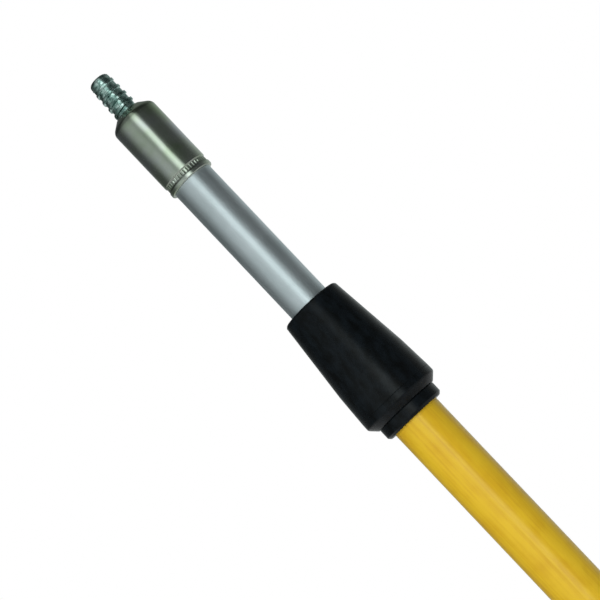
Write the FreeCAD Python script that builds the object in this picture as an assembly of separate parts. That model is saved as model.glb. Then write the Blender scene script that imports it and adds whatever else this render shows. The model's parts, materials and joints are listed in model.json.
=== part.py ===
"""Telescoping extension pole for a paint roller, in millimetres.

The pole stands upright on its end cap. The origin is the centre of the cap's flat base, and +Z
runs along the pole to the threaded tip. An aluminium inner tube slides in a fibreglass outer
tube, and a screw-down collar squeezes a split clamp ring on it. At rest the collar is tight and
the inner tube stands out by EXPOSED_TUBE. Every sub-part is written to parts/NODE.step.
"""
import FreeCAD, Part
import math
import os

VECTOR = FreeCAD.Vector
ORIGIN = VECTOR(0, 0, 0)
UP = VECTOR(0, 0, 1)
PARALLEL = 0                # taper of a thread, in degrees

# Tubes
INNER_TUBE_R = 15.875       # 1 1/4 inch aluminium tube
INNER_TUBE_BORE_R = 14.375
OUTER_TUBE_R = 19.05        # 1 1/2 inch fibreglass tube
OUTER_TUBE_BORE_R = 17.0
BOND_GAP = 0.05             # glue line or tight fit between pieces of one body
RUN_GAP = 0.07              # running clearance on a shaft or in a bore
END_PLAY = 0.1              # free space at the end of a piece

# Stations along the pole
COLLAR_TOP = 640.0
COLLAR_LENGTH = 96.5
EXPOSED_TUBE = 120.5        # inner tube seen between the collar and the ferrule
FERRULE_LENGTH = 67.0
TUBE_MOUTH = COLLAR_TOP - 44.0
COLLAR_BOTTOM = COLLAR_TOP - COLLAR_LENGTH
FERRULE_BOTTOM = COLLAR_TOP + EXPOSED_TUBE
FERRULE_TOP = FERRULE_BOTTOM + FERRULE_LENGTH

# Threaded tip: a coarse right-hand thread that tapers slightly towards the nose
THREAD_R = 9.6              # crest at the helix's start
ROOT_R = 8.0
THREAD_PITCH = 6.5
THREAD_TAPER = 1.8          # in degrees, narrowing towards the nose
THREAD_CREST = 2.4          # width of the crest before its edges are broken
THREAD_EDGE = 0.4           # broken edge of the crest
THREAD_FLANK = math.tan(math.radians(20))
THREAD_START = FERRULE_TOP - 0.2
THREAD_BOTTOM = FERRULE_TOP + 0.5
THREAD_TOP = FERRULE_TOP + 28.5
THREAD_RUN_OUT = 3.5
TIP_TOP = FERRULE_TOP + 32.5
NOSE_ROUNDING = 3.0

# Ferrule: a cup with a conical shoulder
FERRULE_R = 18.2
FERRULE_BORE_R = INNER_TUBE_R + BOND_GAP
FERRULE_HOLE_R = ROOT_R + 0.1
FERRULE_FACE_R = 10.9       # flat face that the tip comes through
FERRULE_CAP = 1.5           # thickness of the face
SHOULDER_SLOPE = 1.3        # radius gained per millimetre down the shoulder
SHOULDER_WALL = 1.65        # wall of the shoulder, measured along the axis
SHOULDER_ROUNDING = 5.0

# Rolled groove that holds the ferrule, tube and tip together
CRIMP_Z = FERRULE_BOTTOM + 5.8
CRIMP_DEPTH = 0.7
CRIMP_DENTS = 40
DENT_R = 1.3
DENT_DEPTH = 0.4            # below the groove's floor
BEAD_DEPTH = 0.4            # how far the roll presses the wall inwards

# Tip's shank inside the tube
INNER_TUBE_TOP = FERRULE_TOP - 8.0
SHANK_R = INNER_TUBE_BORE_R - BOND_GAP
SHANK_BORE_R = 10.5
SHANK_DROP = 3.0            # shank below the ferrule's lower edge
SHANK_BORE_TOP = FERRULE_TOP - 16.0

# Lower end of the inner tube
INNER_TUBE_BOTTOM = 184.0
LOWER_BUSH_LENGTH = 34.0
BUSH_OVERHANG = 2.0         # of bush and plug below the tube's end
BUSH_PIN_RISE = 18.0        # pins above the tube's end
BUSH_PIN_INNER_R = 11.5
BUSH_LIP = 0.3              # bush's lip turned in under the tube's wall
PLUG_BORE_R = 10.0
PLUG_LENGTH = 30.0          # inside the tube
PLUG_WEB = 4.0

# Collet on the outer tube's mouth
COLLET_R = 21.0
COLLET_FLANGE_R = 24.5
COLLET_FLANGE_TOP = COLLAR_BOTTOM - 0.3
COLLET_FLANGE_HEIGHT = 9.4
COLLET_BEVEL = 1.9          # bevel under the flange
COLLET_BORE_R = OUTER_TUBE_R + BOND_GAP
COLLET_TOP = TUBE_MOUTH + 22.0
SEAT_BOTTOM = TUBE_MOUTH + 4.0
SEAT_BOTTOM_R = 17.3
SEAT_SLOPE = math.tan(math.radians(7.5))
SEAT_LIP_R = 16.4
BUSH_FLANGE = 2.0
UPPER_BUSH_LENGTH = 24.0
COLLET_PITCH = 6.0          # lead of the collar's screw
COLLET_THREAD_BOTTOM = TUBE_MOUTH - 40.0
COLLET_THREAD_TURNS = 5
COLLET_THREAD_R = 22.4
COLLET_CREST_HALF = 1.0     # half widths of the thread at its crest and foot
COLLET_FOOT_HALF = 1.6
THREAD_OVERLAP = 0.2        # how far a ridge is sunk into its core before the two are joined
SCREW_GAP = 0.3             # play of the collar's screw
PIN_R = 2.0
COLLET_PIN_DROP = 7.0       # pins below the thread's start

# Collar
COLLAR_TOP_R = 23.3
COLLAR_BEVEL = 1.2          # bevel round the top edge
COLLAR_KNEE = 61.0          # below the top, where the cone turns into the wide band
COLLAR_KNEE_R = 29.3
COLLAR_KNEE_ROUNDING = 60.0
COLLAR_WIDE_R = 30.8
COLLAR_LIP_R = 25.4
COLLAR_CHAMFER = 5.4
END_RING_HEIGHT = 10.8
CLAMP_TOP = COLLET_TOP + 2.0
CLAMP_RISE = 1.5            # ring's foot above the seat's foot
CLAMP_GAP = 0.06
CLAMP_SPLIT = 2.5
WASHER_THICKNESS = 1.5
WASHER_BORE_R = 16.3
WASHER_R = 20.4
SHOULDER = CLAMP_TOP + WASHER_THICKNESS + END_PLAY
NUT_BOTTOM = COLLAR_BOTTOM + 12.2
NUT_TOP = NUT_BOTTOM + 36.0
NUT_R = 25.4
KEYS = 6
KEY_WIDTH = 4.0
KEY_HEIGHT = 1.0
KEY_SIDE_GAP = 0.1
KEY_START = 4.0             # keys begin above the nut's lower face
SEAL_SEAT = COLLAR_TOP - 5.0
SEAL_SEAT_R = 20.1
WIPER_HEIGHT = 3.2
WIPER_LIP = 0.8             # height of the lip that touches the tube
WIPER_LIP_GAP = 0.1
WIPER_ROOT_R = 17.2
RETAINER_BORE_R = 16.7
SPIGOT_R = 28.3             # end ring's spigot inside the collar
SPIGOT_HEIGHT = 4.9
SPIGOT_BORE_R = 25.7
SCREW_PASS_R = 22.9         # end ring's bore, which passes the collet's thread
CLAMP_PASS_R = 16.6         # collar's bore above the clamp, clear of the inner tube

# Butt end
CAP_HEIGHT = 30.0
CAP_R = 22.2
TUBE_BOTTOM = 20.0
PLUG_TOP = 58.0
PLUG_R = OUTER_TUBE_BORE_R - BOND_GAP
CAP_BORE_R = 12.5
CAP_FLOOR = 4.0             # cap's floor inside the tube
CAP_DRAFT = 0.4             # cap's foot is this much smaller in radius than its rim
CAP_PIN_INNER_R = 13.5
CAP_PIN_Z = TUBE_BOTTOM + 24.0
HANG_HOLE_Z = 10.0
HANG_HOLE_R = 4.0
GRIP_BOTTOM = CAP_HEIGHT + 0.2
GRIP_LENGTH = 200.0
GRIP_R = 22.0
GRIP_BEAD_R = 22.9
GRIP_BEAD_HEIGHT = 9.0
GRIP_BEAD_RUN = 2.0
GRIP_PLAIN_END = 15.0       # from each end to the first flute
GRIP_FLUTES = 20
GRIP_BANDS = 4
GRIP_FLUTE_R = 2.2
GRIP_FLUTE_DEPTH = 0.9
GRIP_FLUTE_GAP = 3.5        # plain ring on each side of a band, before the flutes' round ends


def corner_arc(point, toward_last, toward_next, rounding):
    """Start, middle and end of the arc that rounds one corner of an outline."""
    half = toward_last.getAngle(toward_next) / 2
    bisector = (toward_last + toward_next).normalize()
    reach = rounding / math.tan(half)
    middle = point + bisector * (rounding / math.sin(half) - rounding)
    return point + toward_last * reach, middle, point + toward_next * reach


def outline(corners):
    """Closed wire in the XZ plane. A corner is (radius, height) or (radius, height, rounding)."""
    points = [VECTOR(corner[0], 0, corner[1]) for corner in corners]
    joints = []
    for i, point in enumerate(points):
        rounding = corners[i][2] if len(corners[i]) > 2 else 0
        toward_last = (points[i - 1] - point).normalize()
        toward_next = (points[(i + 1) % len(points)] - point).normalize()
        if rounding:
            joints.append(corner_arc(point, toward_last, toward_next, rounding))
        else:
            joints.append((point, None, point))
    edges = []
    for i, (start, middle, end) in enumerate(joints):
        if middle is not None:
            edges.append(Part.Arc(start, middle, end).toShape())
        edges.append(Part.LineSegment(end, joints[(i + 1) % len(joints)][0]).toShape())
    return Part.Wire(edges)


def turned(corners):
    """Solid of revolution about the pole's axis."""
    return Part.Face(outline(corners)).revolve(ORIGIN, UP, 360)


def tube(inner_r, outer_r, bottom, top, edge=0.0):
    """Plain round sleeve, with its outer edges broken by a small round."""
    return turned([(inner_r, bottom), (outer_r, bottom, edge), (outer_r, top, edge), (inner_r, top)])


def around(shape, count, start=0.0):
    """Copies of a shape at equal steps about the pole's axis."""
    copies = []
    for i in range(count):
        copy = shape.copy()
        copy.rotate(ORIGIN, UP, start + 360.0 * i / count)
        copies.append(copy)
    return copies


def helical_ridge(section, pitch, bottom, turns, taper=PARALLEL):
    """Solid ridge swept up a right-hand helix that narrows by the taper's angle as it rises.

    The section's corners are (radius, height offset).
    """
    helix = Part.makeLongHelix(pitch, pitch * turns, section[0][0], -taper)
    helix.translate(UP * bottom)
    corners = [VECTOR(r, 0, bottom + offset) for r, offset in section]
    wire = Part.makePolygon(corners + corners[:1])
    return Part.Wire(helix.Edges).makePipeShell([wire], True, True)


def radial_pins(inner_r, outer_r, height, count, start=0.0):
    """Flush pins across a tube wall, as separate solids."""
    pin = Part.makeCylinder(PIN_R, outer_r - inner_r, VECTOR(inner_r, 0, height), VECTOR(1, 0, 0))
    return around(pin, count, start)


# Inner section


def tip_thread():
    """The tip's thread. It starts at the ferrule's face and runs out below the nose."""
    base = ROOT_R - THREAD_OVERLAP
    crest = THREAD_CREST / 2
    edge_foot = crest + THREAD_EDGE * THREAD_FLANK
    foot = crest + (THREAD_R - base) * THREAD_FLANK
    section = [
        (base, -foot),
        (THREAD_R - THREAD_EDGE, -edge_foot),
        (THREAD_R, THREAD_EDGE - crest),
        (THREAD_R, crest - THREAD_EDGE),
        (THREAD_R - THREAD_EDGE, edge_foot),
        (base, foot),
    ]
    turns = math.ceil((THREAD_TOP - THREAD_START) / THREAD_PITCH)
    ridge = helical_ridge(section, THREAD_PITCH, THREAD_START, turns, THREAD_TAPER)
    envelope = turned([
        (0, THREAD_BOTTOM),
        (THREAD_R + THREAD_OVERLAP, THREAD_BOTTOM),
        (THREAD_R + THREAD_OVERLAP, THREAD_TOP - THREAD_RUN_OUT),
        (ROOT_R - THREAD_OVERLAP, THREAD_TOP),
        (0, THREAD_TOP),
    ])
    return ridge.common(envelope)


def shoulder_depth(r):
    """Depth below the ferrule's face at which the inside of its shoulder has radius r."""
    return (r - FERRULE_FACE_R) / SHOULDER_SLOPE + SHOULDER_WALL


def crimp_groove(r, depth, floor, run, rounding=0.0):
    """Corners of a rolled groove at CRIMP_Z, from below. The floor is a half height."""
    return [
        (r, CRIMP_Z - floor - run, rounding),
        (r - depth, CRIMP_Z - floor, rounding),
        (r - depth, CRIMP_Z + floor, rounding),
        (r, CRIMP_Z + floor + run, rounding),
    ]


def threaded_tip():
    """Die-cast tip: hollow shank, head under the ferrule's shoulder, thread and plain nose."""
    shank_bottom = FERRULE_BOTTOM - SHANK_DROP
    cap = FERRULE_CAP + END_PLAY
    cap_r = FERRULE_FACE_R + SHOULDER_SLOPE * (FERRULE_CAP - SHOULDER_WALL)
    body = turned(
        [
            (0, SHANK_BORE_TOP),
            (SHANK_BORE_R, SHANK_BORE_TOP, 3.0),
            (SHANK_BORE_R, shank_bottom),
            (SHANK_R, shank_bottom, 1.0),
        ]
        + crimp_groove(SHANK_R, BEAD_DEPTH + BOND_GAP, 1.2, 0.5)
        + [
            (SHANK_R, INNER_TUBE_TOP),
            (INNER_TUBE_R, INNER_TUBE_TOP),
            (INNER_TUBE_R, FERRULE_TOP - shoulder_depth(INNER_TUBE_R) - END_PLAY),
            (cap_r, FERRULE_TOP - cap),
            (ROOT_R, FERRULE_TOP - cap),
            (ROOT_R, TIP_TOP, NOSE_ROUNDING),
            (0, TIP_TOP),
        ]
    )
    return body.fuse(tip_thread())


def tip_ferrule():
    """Drawn cup over the tube's end, rolled into the tube with a row of dents along the roll."""
    cap_r = FERRULE_FACE_R + SHOULDER_SLOPE * (FERRULE_CAP - SHOULDER_WALL)
    shoulder = (FERRULE_R - FERRULE_FACE_R) / SHOULDER_SLOPE
    cup = turned(
        [(FERRULE_BORE_R, FERRULE_BOTTOM, 0.3), (FERRULE_R, FERRULE_BOTTOM, 1.0)]
        + crimp_groove(FERRULE_R, CRIMP_DEPTH, 1.6, 1.0, 0.4)
        + [
            (FERRULE_R, FERRULE_TOP - shoulder, SHOULDER_ROUNDING),
            (FERRULE_FACE_R, FERRULE_TOP, 0.4),
            (FERRULE_HOLE_R, FERRULE_TOP),
            (FERRULE_HOLE_R, FERRULE_TOP - FERRULE_CAP),
            (cap_r, FERRULE_TOP - FERRULE_CAP),
            (FERRULE_BORE_R, FERRULE_TOP - shoulder_depth(FERRULE_BORE_R)),
        ]
        + crimp_groove(FERRULE_BORE_R, BEAD_DEPTH, 0.4, 0.4)[::-1]
    )
    dent_centre = FERRULE_R - CRIMP_DEPTH - DENT_DEPTH + DENT_R
    dent = Part.makeSphere(DENT_R, VECTOR(dent_centre, 0, CRIMP_Z))
    return cup.cut(Part.makeCompound(around(dent, CRIMP_DENTS)))


def inner_tube():
    """Aluminium tube with the groove that the ferrule's roll presses into it."""
    shell = turned(
        [(INNER_TUBE_BORE_R, INNER_TUBE_BOTTOM), (INNER_TUBE_R, INNER_TUBE_BOTTOM)]
        + crimp_groove(INNER_TUBE_R, BEAD_DEPTH + 0.02, 0.5, 0.4)
        + [(INNER_TUBE_R, INNER_TUBE_TOP), (INNER_TUBE_BORE_R, INNER_TUBE_TOP)]
        + crimp_groove(INNER_TUBE_BORE_R, BEAD_DEPTH, 1.1, 0.4)[::-1]
    )
    return shell.cut(Part.makeCompound(lower_bush_pins()))


def lower_bush():
    """Nylon bush on the tube's lower end, which runs in the outer tube and stops it pulling out."""
    bottom = INNER_TUBE_BOTTOM - BUSH_OVERHANG
    bush = turned([
        (INNER_TUBE_BORE_R + BUSH_LIP, bottom),
        (OUTER_TUBE_BORE_R - RUN_GAP, bottom, 0.8),
        (OUTER_TUBE_BORE_R - RUN_GAP, INNER_TUBE_BOTTOM + LOWER_BUSH_LENGTH),
        (INNER_TUBE_R + BOND_GAP, INNER_TUBE_BOTTOM + LOWER_BUSH_LENGTH),
        (INNER_TUBE_R + BOND_GAP, INNER_TUBE_BOTTOM),
        (INNER_TUBE_BORE_R + BUSH_LIP, INNER_TUBE_BOTTOM),
    ])
    return bush.cut(Part.makeCompound(lower_bush_pins()))


def lower_plug():
    """Hollow plug that stiffens the tube's lower end and carries the bush's pins."""
    plug_r = INNER_TUBE_BORE_R - BOND_GAP
    bottom = INNER_TUBE_BOTTOM - BUSH_OVERHANG
    plug = turned([
        (0, bottom),
        (plug_r, bottom, 0.6),
        (plug_r, INNER_TUBE_BOTTOM + PLUG_LENGTH, 1.2),
        (PLUG_BORE_R, INNER_TUBE_BOTTOM + PLUG_LENGTH),
        (PLUG_BORE_R, INNER_TUBE_BOTTOM + PLUG_WEB, 2.0),
        (0, INNER_TUBE_BOTTOM + PLUG_WEB),
    ])
    return plug.cut(Part.makeCompound(lower_bush_pins()))


def lower_bush_pins():
    """Two flush pins through the bush, the tube and the plug."""
    height = INNER_TUBE_BOTTOM + BUSH_PIN_RISE
    return radial_pins(BUSH_PIN_INNER_R, OUTER_TUBE_BORE_R - 0.4, height, 2)


# Outer section


def outer_tube():
    """Fibreglass tube, with holes for the pins at both ends."""
    shell = tube(OUTER_TUBE_BORE_R, OUTER_TUBE_R, TUBE_BOTTOM, TUBE_MOUTH)
    return shell.cut(Part.makeCompound(collet_pins() + end_cap_pins()))


def upper_bush():
    """Flanged nylon bush in the outer tube's mouth, which guides the inner tube and is its stop."""
    return turned([
        (INNER_TUBE_R + RUN_GAP, TUBE_MOUTH - UPPER_BUSH_LENGTH, 0.3),
        (OUTER_TUBE_BORE_R - BOND_GAP, TUBE_MOUTH - UPPER_BUSH_LENGTH),
        (OUTER_TUBE_BORE_R - BOND_GAP, TUBE_MOUTH),
        (OUTER_TUBE_R, TUBE_MOUTH),
        (OUTER_TUBE_R, TUBE_MOUTH + BUSH_FLANGE),
        (INNER_TUBE_R + RUN_GAP, TUBE_MOUTH + BUSH_FLANGE, 0.3),
    ])


def screw_section(growth):
    """Section of the collet's thread, grown all round by a gap for the nut's groove."""
    foot_r = COLLET_R - THREAD_OVERLAP - growth
    slope = (COLLET_FOOT_HALF - COLLET_CREST_HALF) / (COLLET_THREAD_R - COLLET_R)
    side_growth = growth * 1.2
    foot = COLLET_FOOT_HALF + side_growth + slope * (COLLET_R - foot_r)
    crest = COLLET_CREST_HALF + side_growth
    return [
        (foot_r, -foot),
        (COLLET_THREAD_R + growth, -crest),
        (COLLET_THREAD_R + growth, crest),
        (foot_r, foot),
    ]


def collet_body():
    """Threaded sleeve bonded over the tube's mouth: flange, screw thread and conical seat."""
    flange_bottom = COLLET_FLANGE_TOP - COLLET_FLANGE_HEIGHT
    sleeve = turned([
        (COLLET_BORE_R, flange_bottom),
        (COLLET_FLANGE_R - COLLET_BEVEL, flange_bottom, 0.4),
        (COLLET_FLANGE_R, flange_bottom + COLLET_BEVEL, 0.8),
        (COLLET_FLANGE_R, COLLET_FLANGE_TOP, 0.5),
        (COLLET_R, COLLET_FLANGE_TOP),
        (COLLET_R, COLLET_TOP, 0.6),
        (SEAT_BOTTOM_R + SEAT_SLOPE * (COLLET_TOP - SEAT_BOTTOM), COLLET_TOP),
        (SEAT_BOTTOM_R, SEAT_BOTTOM),
        (SEAT_LIP_R, SEAT_BOTTOM),
        (SEAT_LIP_R, TUBE_MOUTH + BUSH_FLANGE),
        (COLLET_BORE_R, TUBE_MOUTH + BUSH_FLANGE),
    ])
    ridge = helical_ridge(screw_section(0), COLLET_PITCH, COLLET_THREAD_BOTTOM, COLLET_THREAD_TURNS)
    return sleeve.cut(Part.makeCompound(collet_pins())).fuse(ridge)


def collet_pins():
    """Three flush pins that lock the collet to the outer tube."""
    height = COLLET_THREAD_BOTTOM - COLLET_PIN_DROP
    return radial_pins(OUTER_TUBE_BORE_R + 0.2, COLLET_R - 0.1, height, 3, 30.0)


def hand_grip():
    """Moulded sleeve over the lower tube: raised ends and fluted bands between plain rings."""
    top = GRIP_BOTTOM + GRIP_LENGTH
    bead = GRIP_BEAD_HEIGHT
    body = GRIP_BEAD_HEIGHT + GRIP_BEAD_RUN
    sleeve = turned([
        (OUTER_TUBE_R + BOND_GAP, GRIP_BOTTOM),
        (GRIP_BEAD_R, GRIP_BOTTOM, 1.4),
        (GRIP_BEAD_R, GRIP_BOTTOM + bead, 1.4),
        (GRIP_R, GRIP_BOTTOM + body, 1.0),
        (GRIP_R, top - body, 1.0),
        (GRIP_BEAD_R, top - bead, 1.4),
        (GRIP_BEAD_R, top - bead / 3, 2.6),
        (OUTER_TUBE_R + 0.9, top, 0.5),
        (OUTER_TUBE_R + BOND_GAP, top),
    ])
    first = GRIP_BOTTOM + GRIP_PLAIN_END
    step = (GRIP_LENGTH - 2 * GRIP_PLAIN_END) / GRIP_BANDS
    length = step - 2 * GRIP_FLUTE_GAP
    half_turn = 180.0 / GRIP_FLUTES
    cutters = []
    for band in range(GRIP_BANDS):
        centre_r = GRIP_R + GRIP_FLUTE_R - GRIP_FLUTE_DEPTH
        base = VECTOR(centre_r, 0, first + band * step + GRIP_FLUTE_GAP)
        groove = Part.makeCylinder(GRIP_FLUTE_R, length, base, UP)
        ends = [Part.makeSphere(GRIP_FLUTE_R, base), Part.makeSphere(GRIP_FLUTE_R, base + UP * length)]
        cutters += around(groove.fuse(ends), GRIP_FLUTES, half_turn * (band % 2))
    return sleeve.cut(Part.makeCompound(cutters))


def end_cap():
    """Cap with a flat foot, a hole to hang the pole by, a skirt around the tube and a plug in it."""
    body = turned([
        (0, 0),
        (CAP_R - CAP_DRAFT, 0, 2.6),
        (CAP_R, CAP_HEIGHT, 1.2),
        (OUTER_TUBE_R + BOND_GAP, CAP_HEIGHT),
        (OUTER_TUBE_R + BOND_GAP, TUBE_BOTTOM),
        (PLUG_R, TUBE_BOTTOM),
        (PLUG_R, PLUG_TOP, 1.5),
        (CAP_BORE_R, PLUG_TOP),
        (CAP_BORE_R, TUBE_BOTTOM + CAP_FLOOR, 3.0),
        (0, TUBE_BOTTOM + CAP_FLOOR),
    ])
    reach = CAP_R + 2.0
    hole = Part.makeCylinder(HANG_HOLE_R, 2 * reach, VECTOR(0, -reach, HANG_HOLE_Z), VECTOR(0, 1, 0))
    return body.cut(hole).cut(Part.makeCompound(end_cap_pins()))


def end_cap_pins():
    """Two flush pins through the tube's wall into the cap's plug, under the grip."""
    return radial_pins(CAP_PIN_INNER_R, OUTER_TUBE_R - 0.1, CAP_PIN_Z, 2, 90.0)


# Clamp, which slides with the collar but doesn't turn


def clamp_ring():
    """Split ring whose taper closes it on the inner tube as the collar pushes it down."""
    bottom = SEAT_BOTTOM + CLAMP_RISE
    bottom_r = SEAT_BOTTOM_R + SEAT_SLOPE * CLAMP_RISE - CLAMP_GAP
    top_r = SEAT_BOTTOM_R + SEAT_SLOPE * (CLAMP_TOP - SEAT_BOTTOM) - CLAMP_GAP
    ring = turned([
        (INNER_TUBE_R + RUN_GAP, bottom),
        (bottom_r, bottom),
        (top_r, CLAMP_TOP, 0.4),
        (INNER_TUBE_R + RUN_GAP, CLAMP_TOP),
    ])
    height = CLAMP_TOP - bottom
    split = Part.makeBox(COLLET_R, CLAMP_SPLIT, 3 * height, VECTOR(0, -CLAMP_SPLIT / 2, bottom - height))
    return ring.cut(split)


def thrust_washer():
    """Flat washer between the turning collar and the clamp ring."""
    return tube(WASHER_BORE_R, WASHER_R, CLAMP_TOP, CLAMP_TOP + WASHER_THICKNESS, 0.2)


# Collar, which turns on the collet's thread


def collar_side():
    """Corners of the collar's outside from the top edge down to the foot of its wide band."""
    return [
        (COLLAR_TOP_R - COLLAR_BEVEL, COLLAR_TOP, 0.4),
        (COLLAR_TOP_R, COLLAR_TOP - COLLAR_BEVEL, 0.8),
        (COLLAR_KNEE_R, COLLAR_TOP - COLLAR_KNEE, COLLAR_KNEE_ROUNDING),
        (COLLAR_WIDE_R - 0.1, COLLAR_BOTTOM + END_RING_HEIGHT),
    ]


def collar_shell():
    """Tapered hand collar: smooth cone, wide band, inner shoulder, keyways and seal seat."""
    counterbore_top = COLLAR_BOTTOM + END_RING_HEIGHT + SPIGOT_HEIGHT + 2 * END_PLAY
    nut_seat_top = NUT_TOP + 2 * END_PLAY
    body = turned(
        [(SEAL_SEAT_R, COLLAR_TOP)]
        + collar_side()
        + [
            (SPIGOT_R + END_PLAY, COLLAR_BOTTOM + END_RING_HEIGHT),
            (SPIGOT_R + END_PLAY, counterbore_top),
            (NUT_R + BOND_GAP, counterbore_top),
            (NUT_R + BOND_GAP, nut_seat_top),
            (COLLET_R + SCREW_GAP, nut_seat_top),
            (COLLET_R + SCREW_GAP, SHOULDER),
            (CLAMP_PASS_R, SHOULDER),
            (CLAMP_PASS_R, SEAL_SEAT),
            (SEAL_SEAT_R, SEAL_SEAT),
        ]
    )
    key_reach = 1.0
    width = KEY_WIDTH + 2 * KEY_SIDE_GAP
    keyway = Part.makeBox(
        key_reach + KEY_HEIGHT + END_PLAY, width, nut_seat_top - counterbore_top,
        VECTOR(NUT_R - key_reach, -width / 2, counterbore_top),
    )
    return body.cut(Part.makeCompound(around(keyway, KEYS)))


def collar_nut():
    """Threaded insert keyed into the collar."""
    ring = tube(COLLET_R + SCREW_GAP, NUT_R, NUT_BOTTOM, NUT_TOP)
    root = 2.0
    key = Part.makeBox(
        root + KEY_HEIGHT, KEY_WIDTH, NUT_TOP - NUT_BOTTOM - KEY_START,
        VECTOR(NUT_R - root, -KEY_WIDTH / 2, NUT_BOTTOM + KEY_START),
    )
    ring = ring.fuse(around(key, KEYS))
    lead_in = COLLET_THREAD_BOTTOM - 3 * COLLET_PITCH
    groove = helical_ridge(screw_section(SCREW_GAP), COLLET_PITCH, lead_in, COLLET_THREAD_TURNS + 6)
    return ring.cut(groove)


def collar_end_ring():
    """Chamfered ring that closes the collar's wide end and holds the nut in it."""
    seam = COLLAR_BOTTOM + END_RING_HEIGHT
    return turned([
        (SCREW_PASS_R, COLLAR_BOTTOM, 0.3),
        (COLLAR_LIP_R, COLLAR_BOTTOM, 0.6),
        (COLLAR_WIDE_R, COLLAR_BOTTOM + COLLAR_CHAMFER, 2.6),
        (COLLAR_WIDE_R - 0.1, seam, 0.25),
        (SPIGOT_R, seam),
        (SPIGOT_R, seam + SPIGOT_HEIGHT, 0.4),
        (SPIGOT_BORE_R, seam + SPIGOT_HEIGHT),
        (SPIGOT_BORE_R, NUT_BOTTOM - END_PLAY),
        (SCREW_PASS_R, NUT_BOTTOM - END_PLAY),
    ])


def wiper_seal():
    """Soft ring in the collar's mouth that wipes the inner tube."""
    lip_r = INNER_TUBE_R + WIPER_LIP_GAP
    foot = SEAL_SEAT + BOND_GAP
    lip = SEAL_SEAT + WIPER_HEIGHT / 2
    return turned([
        (lip_r, lip, 0.2),
        (WIPER_ROOT_R, foot),
        (SEAL_SEAT_R - BOND_GAP, foot),
        (SEAL_SEAT_R - BOND_GAP, SEAL_SEAT + WIPER_HEIGHT),
        (WIPER_ROOT_R, SEAL_SEAT + WIPER_HEIGHT),
        (lip_r, lip + WIPER_LIP, 0.2),
    ])


def seal_retainer():
    """Press-in ring that holds the wiper."""
    bottom = SEAL_SEAT + WIPER_HEIGHT + BOND_GAP
    return tube(RETAINER_BORE_R, SEAL_SEAT_R - BOND_GAP, bottom, COLLAR_TOP + 0.1, 0.3)


SINGLE_PIECES = [
    threaded_tip, tip_ferrule, inner_tube, lower_bush, lower_plug,
    outer_tube, upper_bush, collet_body, hand_grip, end_cap,
    clamp_ring, thrust_washer,
    collar_shell, collar_nut, collar_end_ring, wiper_seal, seal_retainer,
]
PIN_GROUPS = [lower_bush_pins, collet_pins, end_cap_pins]


def main():
    os.makedirs("parts", exist_ok=True)
    for make in SINGLE_PIECES:
        solids = make().Solids
        if len(solids) != 1 or not solids[0].isValid():
            print("CHECK", make.__name__, len(solids), "solids, valid:", [s.isValid() for s in solids])
        Part.makeCompound(solids).exportStep("parts/" + make.__name__ + ".step")
    for make in PIN_GROUPS:
        Part.makeCompound(make()).exportStep("parts/" + make.__name__ + ".step")


main()
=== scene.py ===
"""Looks of the roller extension pole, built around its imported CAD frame. Lengths are in metres."""

import json
import math

import bmesh
import bpy
from mathutils import Matrix, Vector


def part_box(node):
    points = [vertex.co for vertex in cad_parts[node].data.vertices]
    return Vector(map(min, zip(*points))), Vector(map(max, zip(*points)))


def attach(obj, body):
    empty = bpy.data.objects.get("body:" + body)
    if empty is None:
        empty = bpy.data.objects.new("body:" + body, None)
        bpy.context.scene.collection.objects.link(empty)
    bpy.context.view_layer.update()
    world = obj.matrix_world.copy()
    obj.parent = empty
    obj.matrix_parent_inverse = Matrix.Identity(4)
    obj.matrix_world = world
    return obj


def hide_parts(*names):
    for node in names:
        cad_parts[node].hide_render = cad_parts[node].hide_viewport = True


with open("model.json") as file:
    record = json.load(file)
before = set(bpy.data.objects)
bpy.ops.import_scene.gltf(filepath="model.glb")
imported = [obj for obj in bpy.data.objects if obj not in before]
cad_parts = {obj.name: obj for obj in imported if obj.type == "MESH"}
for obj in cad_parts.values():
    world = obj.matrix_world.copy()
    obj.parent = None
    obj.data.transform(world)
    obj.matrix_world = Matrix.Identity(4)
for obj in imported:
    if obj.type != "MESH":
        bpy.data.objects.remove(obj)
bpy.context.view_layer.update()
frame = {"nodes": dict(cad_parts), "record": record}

MM = 0.001
AROUND = 144                # steps round a plain turned piece
ARC_STEPS = 6               # steps along a rounded corner
SHARP_ANGLE = math.radians(38)
SAME = 0.01 * MM            # two radii closer than this count as one


# Meshes


def mesh_object(name, points, faces, material, smooth=True):
    mesh = bpy.data.meshes.new(name)
    mesh.from_pydata(points, [], faces)
    mesh.update()
    mesh.polygons.foreach_set("use_smooth", [smooth] * len(mesh.polygons))
    mesh.set_sharp_from_angle(angle=SHARP_ANGLE)
    mesh.materials.append(material)
    piece = bpy.data.objects.new(name, mesh)
    bpy.context.scene.collection.objects.link(piece)
    return piece


def arc_point(start, end, part):
    """Point on the arc from start to end about the origin."""
    turn = start.angle_signed(end) * part
    return Vector((
        start.x * math.cos(turn) + start.y * math.sin(turn),
        start.y * math.cos(turn) - start.x * math.sin(turn),
    ))


def rounded(corners):
    """Outline of (radius, height) points from corners of (radius, height, rounding)."""
    outline = []
    for index, corner in enumerate(corners):
        point = Vector(corner[:2])
        rounding = corner[2] if len(corner) > 2 else 0
        if not rounding:
            outline.append(tuple(point))
            continue
        last = (Vector(corners[index - 1][:2]) - point).normalized()
        following = (Vector(corners[(index + 1) % len(corners)][:2]) - point).normalized()
        half = last.angle(following) / 2
        centre = point + (last + following).normalized() * (rounding / math.sin(half))
        start = point + last * (rounding / math.tan(half)) - centre
        end = point + following * (rounding / math.tan(half)) - centre
        for step in range(ARC_STEPS + 1):
            outline.append(tuple(centre + arc_point(start, end, step / ARC_STEPS)))
    return outline


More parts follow.
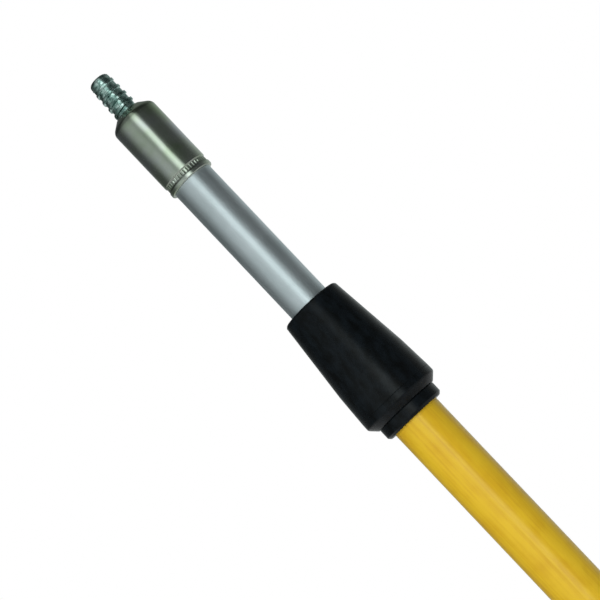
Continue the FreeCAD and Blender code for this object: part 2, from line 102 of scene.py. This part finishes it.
def lathe(name, corners, material, around=AROUND, shift=None):
    """Closed piece turned from an outline. shift(radius, angle, height) may change a radius.

    The outline runs anticlockwise, with radius to the right and height up, so that faces look out.
    An outline that starts and ends on the axis gives a solid piece, any other gives a ring.
    """
    outline = rounded(corners)
    solid = outline[0][0] == 0 and outline[-1][0] == 0
    turned = outline[1:-1] if solid else outline
    points = []
    for column in range(around):
        angle = 2 * math.pi * column / around
        for r_here, height in turned:
            r = shift(r_here, angle, height) if shift else r_here
            points.append((r * math.cos(angle), r * math.sin(angle), height))
    rows = len(turned)
    steps = rows - 1 if solid else rows
    starts = [(column * rows, (column + 1) % around * rows) for column in range(around)]
    faces = []
    for here, there in starts:
        for row in range(steps):
            next_row = (row + 1) % rows
            faces.append((here + row, there + row, there + next_row, here + next_row))
    if solid:
        first, last = len(points), len(points) + 1
        points += [(0, 0, outline[0][1]), (0, 0, outline[-1][1])]
        for here, there in starts:
            faces.append((first, there, here))
            faces.append((last, here + rows - 1, there + rows - 1))
    return mesh_object(name, points, faces, material)


def subdivided(start, end, steps):
    """Points from start to end, without the end, as (radius, height)."""
    return [
        (start[0] + (end[0] - start[0]) * i / steps, start[1] + (end[1] - start[1]) * i / steps)
        for i in range(steps)
    ]


# Materials


def new_material(name, roughness, metallic=0.0, coat=0.0, specular=0.5):
    material = bpy.data.materials.new(name)
    material.use_nodes = True
    shader = material.node_tree.nodes["Principled BSDF"]
    shader.inputs["Metallic"].default_value = metallic
    shader.inputs["Roughness"].default_value = roughness
    shader.inputs["Specular IOR Level"].default_value = specular
    shader.inputs["Coat Weight"].default_value = coat
    shader.inputs["Coat Roughness"].default_value = 0.08
    return material


def noise(material, scale, detail=4.0, stretch=(1, 1, 1)):
    """Noise over the object's own coordinates, so that it moves with its piece."""
    nodes, links = material.node_tree.nodes, material.node_tree.links
    coordinates = nodes.new("ShaderNodeTexCoord")
    mapping = nodes.new("ShaderNodeMapping")
    mapping.inputs["Scale"].default_value = stretch
    texture = nodes.new("ShaderNodeTexNoise")
    texture.inputs["Scale"].default_value = scale
    texture.inputs["Detail"].default_value = detail
    links.new(coordinates.outputs["Object"], mapping.inputs["Vector"])
    links.new(mapping.outputs["Vector"], texture.inputs["Vector"])
    return texture.outputs["Fac"]


def ramp(material, factor, stops):
    """Colour for a factor, from stops of (factor, colour) in rising order."""
    nodes, links = material.node_tree.nodes, material.node_tree.links
    node = nodes.new("ShaderNodeValToRGB")
    elements = node.color_ramp.elements
    for element, (place, colour) in zip(elements, (stops[0], stops[-1])):
        element.position = place
        element.color = (*colour, 1)
    for place, colour in stops[1:-1]:
        elements.new(place).color = (*colour, 1)
    links.new(factor, node.inputs["Fac"])
    return node.outputs["Color"]


def average(material, first, second):
    nodes, links = material.node_tree.nodes, material.node_tree.links
    node = nodes.new("ShaderNodeMix")
    node.inputs["Factor"].default_value = 0.5
    links.new(first, node.inputs["A"])
    links.new(second, node.inputs["B"])
    return node.outputs["Result"]


def finish_material(material, colour, rough_factor, rough_range, bump_factor, bump_height):
    """Join colour, roughness and bump to the shader. Both factors run from 0 to 1."""
    nodes, links = material.node_tree.nodes, material.node_tree.links
    shader = nodes["Principled BSDF"]
    links.new(colour, shader.inputs["Base Color"])
    spread = nodes.new("ShaderNodeMapRange")
    spread.inputs["To Min"].default_value = rough_range[0]
    spread.inputs["To Max"].default_value = rough_range[1]
    links.new(rough_factor, spread.inputs["Value"])
    links.new(spread.outputs["Result"], shader.inputs["Roughness"])
    bump = nodes.new("ShaderNodeBump")
    bump.inputs["Distance"].default_value = bump_height
    bump.inputs["Strength"].default_value = 0.6
    links.new(bump_factor, bump.inputs["Height"])
    links.new(bump.outputs["Normal"], shader.inputs["Normal"])
    return material


def metal(name, tints, roughness, streaks):
    """Satin metal clouded with tints. streaks draws its fine marks out along the pole."""
    material = new_material(name, roughness, metallic=1.0)
    fine = noise(material, scale=500, stretch=(1, 1, streaks))
    cloud = noise(material, scale=34)
    first_stop, stops_span = 0.32, 0.36
    step = stops_span / (len(tints) - 1)
    colour = ramp(material, cloud, [(first_stop + i * step, tint) for i, tint in enumerate(tints)])
    rough_range = (roughness - 0.06, roughness + 0.08)
    return finish_material(material, colour, fine, rough_range, fine, bump_height=0.04 * MM)


def cast_metal():
    """Die-cast zinc: bright worn grains, and dark clouds of painted shade that lie at random rather than
    in the hollows.
    """
    material = new_material("cast_zinc", roughness=0.3, metallic=1.0)
    grain = noise(material, scale=900, detail=6)
    cloud = noise(material, scale=300, detail=3)
    # The darkest stop is painted shade, scattered by the cloud noise. The brightest stop is worn metal.
    colour = ramp(material, cloud, [
        (0.36, (0.12, 0.21, 0.19)), (0.52, (0.34, 0.50, 0.46)), (0.66, (0.66, 0.82, 0.78)),
    ])
    return finish_material(material, colour, cloud, (0.42, 0.16), grain, bump_height=0.25 * MM)


def plastic(name, dark, light, roughness, grain=2500, specular=0.3, patches=60, polish=0.09):
    """Moulded plastic with a spark-eroded grain. Handling polishes it in patches."""
    material = new_material(name, roughness, specular=specular)
    fine = noise(material, scale=grain, detail=2)
    cloud = noise(material, scale=patches, detail=5, stretch=(1, 1, 0.5))
    colour = ramp(material, cloud, [(0.35, dark), (0.65, light)])
    rough_range = (roughness + polish, roughness - polish)
    return finish_material(material, colour, cloud, rough_range, fine, bump_height=0.06 * MM)


def fibreglass():
    """Clear-coated yellow with fibres drawn out along the pole and soft clouds of colour."""
    material = new_material("yellow_fibreglass", roughness=0.4, coat=0.12, specular=0.3)
    fibre = noise(material, scale=420, detail=3, stretch=(1, 1, 0.02))
    cloud = noise(material, scale=60, detail=5, stretch=(1, 1, 0.7))
    mottle = average(material, fibre, cloud)
    colour = ramp(material, mottle, [(0.36, (0.74, 0.41, 0.012)), (0.56, (0.86, 0.54, 0.022))])
    return finish_material(material, colour, cloud, (0.24, 0.38), fibre, bump_height=0.02 * MM)


ZINC = cast_metal()
PLATED = metal(
    "plated_steel", [(0.31, 0.38, 0.26), (0.42, 0.45, 0.40), (0.44, 0.45, 0.49)],
    roughness=0.21, streaks=0.05,
)
ALUMINIUM = metal(
    "drawn_aluminium", [(0.65, 0.72, 0.75), (0.76, 0.82, 0.86)], roughness=0.44, streaks=0.02,
)
STEEL = metal("pin_steel", [(0.45, 0.46, 0.47), (0.62, 0.63, 0.64)], roughness=0.35, streaks=1)
BLACK = plastic(
    "black_plastic", dark=(0.0024, 0.0030, 0.0034), light=(0.0060, 0.0084, 0.0108),
    roughness=0.26, specular=0.13, patches=210, polish=0.16,
)
VINYL = plastic(
    "grip_vinyl", dark=(0.007, 0.007, 0.008), light=(0.014, 0.014, 0.015), roughness=0.55, grain=1500,
)
RUBBER = plastic(
    "seal_rubber", dark=(0.010, 0.010, 0.010), light=(0.020, 0.020, 0.020), roughness=0.7, grain=1800,
)
NYLON = plastic(
    "natural_nylon", dark=(0.62, 0.60, 0.53), light=(0.72, 0.70, 0.63), roughness=0.45, grain=1800,
)
YELLOW = fibreglass()

MATERIAL_OF_SLOT = {
    "cast_zinc": ZINC, "plated_steel": PLATED, "drawn_aluminium": ALUMINIUM, "nylon": NYLON,
    "pin_metal": STEEL, "yellow_fibreglass": YELLOW, "black_plastic": BLACK, "grip_vinyl": VINYL,
    "seal_rubber": RUBBER,
}


# The frame's own sizes, and the inner sizes that several pieces share


def radius(node):
    low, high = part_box(node)
    return (high.x - low.x) / 2


def bottom(node):
    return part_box(node)[0].z


def top(node):
    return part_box(node)[1].z


TUBE_R = radius("inner_tube")
TUBE_TOP = top("inner_tube")
TUBE_MOUTH = top("outer_tube")

FERRULE_TOP = top("tip_ferrule")
SHOULDER_SLOPE = 1.3        # radius gained down the ferrule's shoulder, over height

COLLAR_TOP = top("collar_shell")
COLLAR_BOTTOM = bottom("collar_end_ring")
COLLAR_WIDEST_R = radius("collar_end_ring")
SEAM = COLLAR_BOTTOM + 10.8 * MM            # between the collar and its end ring
SEAM_ROUNDING = 0.25 * MM
COLLAR_BAND_R = COLLAR_WIDEST_R - 0.1 * MM  # of both pieces, where they meet
SEAL_SEAT = COLLAR_TOP - 5 * MM
SEAL_SEAT_R = 20.1 * MM

THREAD_FLAT = 2.0 * MM      # width of both threads' crests


def stands_for(piece, node, body):
    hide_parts(node)
    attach(piece, body)


def ridge_radius(root, crest, angle, height, start, pitch, flank):
    """Radius of a right-hand thread whose crest passes start at angle 0.

    flank is the distance along the pole in which a side of the ridge falls by one unit of radius.
    """
    turn = (height - start) / pitch - angle / (2 * math.pi)
    off_crest = abs(turn - round(turn)) * pitch
    fall = max(0.0, off_crest - THREAD_FLAT / 2) / flank
    return max(root, crest - fall)


# Pieces


def tube(name, node, wall, rounding, material):
    r = radius(node)
    bore = r - wall
    low, high = bottom(node), top(node)
    corners = [(bore, low), (r, low, rounding), (r, high, rounding), (bore, high)]
    return lathe(name, corners, material)


def inner_tube():
    piece = tube("inner_tube_drawn", "inner_tube", 1.5 * MM, 0.2 * MM, ALUMINIUM)
    stands_for(piece, "inner_tube", "inner_section")


def outer_tube():
    piece = tube("outer_tube_pultruded", "outer_tube", 2.05 * MM, 0.3 * MM, YELLOW)
    stands_for(piece, "outer_tube", "outer_section")


def ferrule():
    """Cup with a conical shoulder. The dents along the rolled groove are geometry."""
    low, high = bottom("tip_ferrule"), FERRULE_TOP
    r = radius("tip_ferrule")
    bore = TUBE_R + 0.05 * MM
    hole = 8.1 * MM                                     # for the thread's root
    face = 10.9 * MM                                    # radius of the flat top
    cap, shoulder_wall = 1.5 * MM, 1.65 * MM            # thicknesses, both along the axis
    shoulder = (r - face) / SHOULDER_SLOPE
    cap_r = face - SHOULDER_SLOPE * (shoulder_wall - cap)
    inner_depth = (bore - face) / SHOULDER_SLOPE + shoulder_wall

    groove = low + 5.8 * MM
    floor_r = r - 0.7 * MM
    floor_low, floor_high = groove - 1.6 * MM, groove + 1.6 * MM
    lip_low, lip_high = groove - 2.6 * MM, groove + 2.6 * MM
    lip_rounding = 0.4 * MM
    corners = (
        [(bore, low), (r, low, 1.0 * MM), (r, lip_low, lip_rounding)]
        + subdivided((floor_r, floor_low), (floor_r, floor_high), 16)
        + [(floor_r, floor_high), (r, lip_high, lip_rounding)]
        + subdivided((r, groove + 4 * MM), (r, high - shoulder - 3 * MM), 24)
        + [(r, high - shoulder, 5.0 * MM), (face, high, 0.4 * MM), (hole, high), (hole, high - cap)]
        + [(cap_r, high - cap), (bore, high - inner_depth)]
    )
    dents, dent_depth, dent_reach = 40, 0.5 * MM, 2.0 * MM
    waviness = 0.03 * MM

    def worked(r_here, angle, height):
        """Dents in the groove, and a wall that is never quite true."""
        if r_here < bore + 0.5 * MM:
            return r_here
        tooth = max(0.0, math.cos(dents * angle)) ** 3
        near = max(0.0, 1 - ((height - groove) / dent_reach) ** 2)
        wave = math.sin(3 * angle + height / (9 * MM)) + math.sin(5 * angle - height / (6 * MM))
        return r_here - dent_depth * tooth * near - waviness * (1 + wave / 2)

    piece = lathe("ferrule_rolled", corners, PLATED, 480, worked)
    stands_for(piece, "tip_ferrule", "inner_section")


def end_ring():
    """Chamfered lower end of the collar, with the spigot that fits inside it."""
    low, high = COLLAR_BOTTOM, top("collar_end_ring")
    bore, foot_r = 22.9 * MM, 25.4 * MM
    spigot_r, spigot_bore = 28.3 * MM, 25.7 * MM
    chamfer_top = low + 5.4 * MM
    nut_seat = low + 12.1 * MM
    corners = [
        (bore, low, 0.3 * MM), (foot_r, low, 0.6 * MM), (COLLAR_WIDEST_R, chamfer_top, 2.6 * MM),
        (COLLAR_BAND_R, SEAM, SEAM_ROUNDING), (spigot_r, SEAM), (spigot_r, high),
        (spigot_bore, high), (spigot_bore, nut_seat), (bore, nut_seat),
    ]
    piece = lathe("collar_end_ring_turned", corners, BLACK)
    stands_for(piece, "collar_end_ring", "collar")


def collar():
    """Smooth cone that bends into a wide band, with the seats for what it carries inside."""
    cone_top_r, cone_low_r = 23.3 * MM, 29.3 * MM
    knee, knee_rounding = COLLAR_TOP - 61.0 * MM, 60 * MM
    bevel = 1.2 * MM
    tube_pass_r, shoulder = 16.6 * MM, TUBE_MOUTH + 25.6 * MM
    collet_pass_r = 21.3 * MM
    nut_r, nut_seat = 25.45 * MM, top("collar_nut") + 0.2 * MM
    spigot_r, spigot_seat = 28.4 * MM, SEAM + 5.1 * MM  # of the end ring
    corners = [
        (SEAL_SEAT_R, SEAL_SEAT), (tube_pass_r, SEAL_SEAT), (tube_pass_r, shoulder),
        (collet_pass_r, shoulder), (collet_pass_r, nut_seat), (nut_r, nut_seat),
        (nut_r, spigot_seat), (spigot_r, spigot_seat), (spigot_r, SEAM),
        (COLLAR_BAND_R, SEAM, SEAM_ROUNDING), (cone_low_r, knee, knee_rounding),
        (cone_top_r, COLLAR_TOP - bevel, 0.8 * MM), (cone_top_r - bevel, COLLAR_TOP, 0.4 * MM),
        (SEAL_SEAT_R, COLLAR_TOP),
    ]
    piece = lathe("collar_moulded", corners, BLACK, 240)
    stands_for(piece, "collar_shell", "collar")


def threaded_tip():
    """Hollow shank, head under the ferrule's shoulder, coarse tapering thread and plain nose."""
    low, high = bottom("threaded_tip"), top("threaded_tip")
    shank_r, shank_rounding = TUBE_R - 1.55 * MM, 1.0 * MM
    bore, bore_top, rounding = 10.5 * MM, FERRULE_TOP - 16 * MM, 3 * MM
    cap_r, cap_low = 10.7 * MM, FERRULE_TOP - 1.6 * MM
    head_top = cap_low - (TUBE_R - cap_r) / SHOULDER_SLOPE
    root, crest_at_start = 8.0 * MM, 9.6 * MM
    pitch, taper, flank = 6.5 * MM, math.tan(math.radians(1.8)), math.tan(math.radians(24))
    start = FERRULE_TOP - 0.2 * MM
    thread_low, thread_high = FERRULE_TOP + 0.5 * MM, FERRULE_TOP + 28.5 * MM
    run_out = 0.5                                       # how steeply the last turn rises
    corners = (
        [(0, bore_top), (bore, bore_top, rounding), (bore, low), (shank_r, low, shank_rounding)]
        + [(shank_r, TUBE_TOP), (TUBE_R, TUBE_TOP), (TUBE_R, head_top), (cap_r, cap_low), (root, cap_low)]
        + subdivided((root, FERRULE_TOP), (root, high - rounding), 260)
        + [(root, high, rounding), (0, high)]
    )

    def threaded(r_here, angle, height):
        """The thread, with the small hollows and rough edges that casting leaves."""
        if abs(r_here - root) > SAME or height < FERRULE_TOP:
            return r_here
        pitted = math.sin(9 * angle + height / (0.8 * MM)) * math.sin(5 * angle - height / (1.3 * MM))
        r = root
        if thread_low < height < thread_high:
            crest = crest_at_start - taper * (height - start)
            ridge = ridge_radius(root, crest, angle, height, start, pitch, flank)
            r = max(root, min(ridge, root + run_out * (thread_high - height)))
        pit_depth = 0.07 * MM if r > root + 0.3 * MM else 0.03 * MM
        return r + pit_depth * (pitted - 1)

    piece = lathe("threaded_tip_cast", corners, ZINC, 240, threaded)
    stands_for(piece, "threaded_tip", "inner_section")


def collet():
    """Threaded sleeve on the outer tube's mouth. Its flange is the ring below the collar."""
    low, high = bottom("collet_body"), top("collet_body")
    flange_r, flange_top, bevel = radius("collet_body"), COLLAR_BOTTOM - 0.3 * MM, 1.9 * MM
    bore, sleeve, crest = 19.1 * MM, 21.0 * MM, 22.4 * MM
    seat_top_r, seat_low_r, seat_low = 19.67 * MM, 17.3 * MM, TUBE_MOUTH + 4 * MM
    lip_r, lip_low = 16.4 * MM, TUBE_MOUTH + 2 * MM     # lip below the clamp ring's conical seat
    thread_low, pitch, turns = TUBE_MOUTH - 40 * MM, 6.0 * MM, 5
    flank = 0.4286                                      # 0.6 mm along the pole for 1.4 mm of radius
    corners = (
        [(bore, low), (flange_r - bevel, low, 0.4 * MM), (flange_r, low + bevel, 0.8 * MM)]
        + [(flange_r, flange_top, 0.5 * MM), (sleeve, flange_top)]
        + subdivided((sleeve, thread_low - 3 * MM), (sleeve, thread_low + 33 * MM), 180)
        + [(sleeve, high, 0.6 * MM), (seat_top_r, high), (seat_low_r, seat_low)]
        + [(lip_r, seat_low), (lip_r, lip_low), (bore, lip_low)]
    )

    def threaded(r_here, angle, height):
        turned = angle / (2 * math.pi)
        along = round((height - thread_low) / pitch - turned) + turned
        if abs(r_here - sleeve) > SAME or not 0 <= along <= turns:
            return r_here
        return ridge_radius(sleeve, crest, angle, height, thread_low, pitch, flank)

    piece = lathe("collet_moulded", corners, BLACK, 240, threaded)
    stands_for(piece, "collet_body", "outer_section")


def hand_grip():
    """Vinyl sleeve with raised ends and four bands of flutes, each turned half a step."""
    low, high = bottom("hand_grip"), top("hand_grip")
    bore, body, bead = radius("outer_tube") + 0.05 * MM, 22.0 * MM, radius("hand_grip")
    bead_height, bead_rounding = 9 * MM, 1.4 * MM
    end = 12 * MM                                       # raised end with its slope
    flutes, flute_depth, bands = 20, 0.9 * MM, 4
    first, step = low + 15 * MM, (high - low - 30 * MM) / bands
    margin, fade_length = 1.5 * MM, 2 * MM              # at both ends of a band
    corners = (
        [(bore, low), (bead, low, bead_rounding), (bead, low + bead_height, bead_rounding)]
        + subdivided((body, low + end), (body, high - end), 130)
        + [(body, high - end), (bead, high - bead_height, bead_rounding), (bead, high - 3 * MM, 2.6 * MM)]
        + [(bore + 0.85 * MM, high, 0.5 * MM), (bore, high)]
    )

    def fluted(r_here, angle, height):
        band = math.floor((height - first) / step)
        if abs(r_here - body) > SAME or not 0 <= band < bands:
            return r_here
        into = height - first - band * step
        fade = max(0.0, min(1.0, (into - margin) / fade_length, (step - margin - into) / fade_length))
        turned = flutes * angle - math.pi * (band % 2)
        return r_here - flute_depth * fade * max(0.0, math.cos(turned)) ** 2

    piece = lathe("hand_grip_vinyl", corners, VINYL, 320, fluted)
    stands_for(piece, "hand_grip", "outer_section")


def wiper():
    """Soft ring in the collar's mouth, with a lip round the inner tube."""
    outer, lip = radius("wiper_seal"), TUBE_R + 0.1 * MM
    root, low, high = 17.2 * MM, SEAL_SEAT + 0.05 * MM, SEAL_SEAT + 3.2 * MM
    lip_low, lip_high, lip_rounding = SEAL_SEAT + 1.6 * MM, SEAL_SEAT + 2.4 * MM, 0.2 * MM
    corners = [
        (lip, lip_low, lip_rounding), (root, low), (outer, low),
        (outer, high), (root, high), (lip, lip_high, lip_rounding),
    ]
    piece = lathe("wiper_lip", corners, RUBBER)
    stands_for(piece, "wiper_seal", "collar")


def retainer():
    """Ring that holds the wiper."""
    low, high = bottom("seal_retainer"), top("seal_retainer")
    outer, bore, rounding = radius("wiper_seal"), 16.7 * MM, 0.3 * MM
    corners = [(bore, low), (outer, low, rounding), (outer, high, rounding), (bore, high, rounding)]
    piece = lathe("retainer_ring", corners, BLACK)
    stands_for(piece, "seal_retainer", "collar")


def cut_through(piece, tool):
    """Take a tool's shape out of a piece, drop the tool and weld the cut's doubled points."""
    bpy.context.view_layer.update()
    cut = piece.modifiers.new("cut", "BOOLEAN")
    cut.operation = "DIFFERENCE"
    cut.object = tool
    cut.solver = "EXACT"
    evaluated = piece.evaluated_get(bpy.context.evaluated_depsgraph_get())
    mesh = bpy.data.meshes.new_from_object(evaluated)
    clean = bmesh.new()
    clean.from_mesh(mesh)
    bmesh.ops.remove_doubles(clean, verts=clean.verts, dist=0.001 * MM)
    clean.to_mesh(mesh)
    clean.free()
    mesh.set_sharp_from_angle(angle=SHARP_ANGLE)
    piece.modifiers.clear()
    piece.data = mesh
    bpy.data.objects.remove(tool)


def end_cap():
    """Cap with a flat foot and a hole to hang it by."""
    outer, skirt_top, high = 22.2 * MM, 30 * MM, top("end_cap")
    tube_low, around_tube = bottom("outer_tube"), radius("outer_tube") + 0.05 * MM
    plug, hollow, hollow_low = 16.95 * MM, 12.5 * MM, tube_low + 4 * MM
    hole_r, hole_height, reach = 4 * MM, 10 * MM, 30 * MM
    corners = [
        (0, 0), (outer - 0.4 * MM, 0, 2.6 * MM), (outer, skirt_top, 1.2 * MM), (around_tube, skirt_top),
        (around_tube, tube_low), (plug, tube_low), (plug, high, 1.5 * MM), (hollow, high),
        (hollow, hollow_low, 3 * MM), (0, hollow_low),
    ]
    cap = lathe("end_cap_moulded", corners, BLACK)
    drill = lathe("drill", [(0, -reach), (hole_r, -reach), (hole_r, reach), (0, reach)], BLACK, 64)
    drill.matrix_world = Matrix.Translation((0, 0, hole_height)) @ Matrix.Rotation(math.pi / 2, 4, "X")
    cut_through(cap, drill)
    stands_for(cap, "end_cap", "outer_section")


def dress_cad_nodes():
    """The other nodes keep their CAD shape, with the material of their slot."""
    for part in frame["record"]["subparts"]:
        node = frame["nodes"][part["node"]]
        node.data.materials.clear()
        node.data.materials.append(MATERIAL_OF_SLOT[part["material_slot"]])


# Stage

FLOOR_RADIUS = 3
FLOOR_STEPS = 360


def stage_floor():
    material = new_material("floor", roughness=0.9)
    shade = noise(material, scale=3)
    colour = ramp(material, shade, [(0.3, (0.87, 0.87, 0.87)), (0.7, (0.90, 0.90, 0.90))])
    finish_material(material, colour, shade, (0.85, 0.95), shade, bump_height=0.1 * MM)
    rim = []
    for step in range(FLOOR_STEPS):
        angle = 2 * math.pi * step / FLOOR_STEPS
        rim.append((FLOOR_RADIUS * math.cos(angle), FLOOR_RADIUS * math.sin(angle), -0.5 * MM))
    floor = mesh_object("floor", rim, [tuple(range(FLOOR_STEPS))], material, smooth=False)


# Studio light. A bearing is 0 in front of the pole and 90 degrees on its +X side.

ROOM_BRIGHTNESS = 0.13
ROOM_TINT = (0.91, 1.0, 0.98)
SOFTBOX_TOP = 9, 21         # elevations in degrees between which the softboxes fade out
ABOVE_SOFTBOXES = 0.3       # brightness up there, as a part of that at their middle
BEARING_STEP = 12           # degrees between two samples of the walls' brightness
SOFTBOXES = [               # bearing and half width in degrees, brightness
    (7, 15, 3.6),           # strip in front
    (-40, 62, 0.72),        # large one to the left
    (155, 75, 0.58),        # wall behind
]
LAMPS = [                   # name, place, what it points at, watts, width, height
    ("key", (-1.2, -3.4, 1.2), (0, 0, 0.6), 50, 1.4, 2.8),
    ("right_fill", (3.2, -1.8, 0.8), (0, 0, 0.6), 3.2, 1.6, 2.8),
    ("back_fill", (-0.5, 3.6, 1.8), (0, 0, 0.5), 26, 2.4, 2.0),
    ("overhead", (0, 0, 4), (0, 0, 0), 55, 3, 3),
]


def wall_brightness(bearing):
    """The dark room and the softboxes, which fade at their edges."""
    total = ROOM_BRIGHTNESS
    for centre, half_width, brightness in SOFTBOXES:
        away = abs((bearing - centre + 180) % 360 - 180)
        if away < half_width:
            total += brightness * math.cos(math.pi / 2 * away / half_width) ** 2
    return total


def bearing_from_direction(nodes, links, parts):
    """Bearing of a direction's X and Y, as 0 to 1 for -180 to 180 degrees."""
    toward = nodes.new("ShaderNodeMath")
    toward.operation = "MULTIPLY"
    toward.inputs[1].default_value = -1
    links.new(parts.outputs["Y"], toward.inputs[0])
    turn = nodes.new("ShaderNodeMath")
    turn.operation = "ARCTAN2"
    links.new(parts.outputs["X"], turn.inputs[0])
    links.new(toward.outputs[0], turn.inputs[1])
    place = nodes.new("ShaderNodeMapRange")
    place.inputs["From Min"].default_value = -math.pi
    place.inputs["From Max"].default_value = math.pi
    links.new(turn.outputs[0], place.inputs["Value"])
    return place.outputs["Result"]


def wall_colour(nodes, links, bearing):
    walls = nodes.new("ShaderNodeValToRGB")
    stops = walls.color_ramp.elements
    for degrees in range(-180 + BEARING_STEP, 180, BEARING_STEP):
        stops.new(0.5 + degrees / 360)
    for stop in stops:
        brightness = wall_brightness(360 * (stop.position - 0.5))
        stop.color = (*(brightness * part for part in ROOM_TINT), 1)
    links.new(bearing, walls.inputs["Fac"])
    return walls.outputs["Color"]


def wall_strength(nodes, links, upward):
    """Full up to the softboxes' top, then fading. upward is the sine of the elevation."""
    fade = nodes.new("ShaderNodeMapRange")
    fade.inputs["From Min"].default_value = math.sin(math.radians(SOFTBOX_TOP[0]))
    fade.inputs["From Max"].default_value = math.sin(math.radians(SOFTBOX_TOP[1]))
    fade.inputs["To Min"].default_value = 1
    fade.inputs["To Max"].default_value = ABOVE_SOFTBOXES
    links.new(upward, fade.inputs["Value"])
    return fade.outputs["Result"]


def studio_world():
    """The pole is lit by the studio's walls, and stands before plain white."""
    world = bpy.data.worlds.new("studio")
    bpy.context.scene.world = world
    world.use_nodes = True
    nodes, links = world.node_tree.nodes, world.node_tree.links
    direction = nodes.new("ShaderNodeTexCoord")
    parts = nodes.new("ShaderNodeSeparateXYZ")
    links.new(direction.outputs["Generated"], parts.inputs["Vector"])
    lit = nodes["Background"]
    bearing = bearing_from_direction(nodes, links, parts)
    links.new(wall_colour(nodes, links, bearing), lit.inputs["Color"])
    links.new(wall_strength(nodes, links, parts.outputs["Z"]), lit.inputs["Strength"])
    seen = nodes.new("ShaderNodeBackground")
    seen.inputs["Color"].default_value = (1, 1, 1, 1)
    path = nodes.new("ShaderNodeLightPath")
    mix = nodes.new("ShaderNodeMixShader")
    links.new(path.outputs["Is Camera Ray"], mix.inputs["Fac"])
    links.new(lit.outputs["Background"], mix.inputs[1])
    links.new(seen.outputs["Background"], mix.inputs[2])
    links.new(mix.outputs["Shader"], nodes["World Output"].inputs["Surface"])
    bpy.context.scene.view_settings.view_transform = "Standard"


def area_light(name, place, target, watts, width, height):
    """Soft lamp that lights the pole without being seen in it."""
    light = bpy.data.lights.new(name, "AREA")
    light.shape = "RECTANGLE"
    light.size = width
    light.size_y = height
    light.energy = watts
    lamp = bpy.data.objects.new(name, light)
    bpy.context.scene.collection.objects.link(lamp)
    lamp.location = place
    lamp.visible_glossy = False
    lamp.visible_camera = False
    lamp.rotation_mode = "QUATERNION"
    lamp.rotation_quaternion = (Vector(target) - Vector(place)).to_track_quat("-Z", "Y")


# Camera

CAMERA_DISTANCE = 1.409
CAMERA_TARGET = Vector((-2.8 * MM, 0, COLLAR_TOP + 7.5 * MM))
CAMERA_LEAN = math.radians(6.6)         # how far it looks up
CAMERA_ROLL = math.radians(43.42)       # so that the pole runs diagonally
LENS_MM = 121.8
SENSOR_MM = 36.0


def camera():
    forward = Vector((0, math.cos(CAMERA_LEAN), math.sin(CAMERA_LEAN)))
    along = Vector((0, -math.sin(CAMERA_LEAN), math.cos(CAMERA_LEAN)))
    across = Vector((1, 0, 0))
    right = across * math.cos(CAMERA_ROLL) - along * math.sin(CAMERA_ROLL)
    up = across * math.sin(CAMERA_ROLL) + along * math.cos(CAMERA_ROLL)
    data = bpy.data.cameras.new("camera")
    data.lens = LENS_MM
    data.sensor_width = SENSOR_MM
    eye = bpy.data.objects.new("camera", data)
    bpy.context.scene.collection.objects.link(eye)
    rotation = Matrix((right, up, -forward)).transposed().to_4x4()
    eye.matrix_world = Matrix.Translation(CAMERA_TARGET - forward * CAMERA_DISTANCE) @ rotation
    bpy.context.scene.camera = eye


PIECES = (
    inner_tube, outer_tube, ferrule, end_ring, collar, threaded_tip, collet, hand_grip, wiper,
    retainer, end_cap,
)

camera()
stage_floor()
studio_world()
for lamp_values in LAMPS:
    area_light(*lamp_values)
dress_cad_nodes()
for make in PIECES:
    make()
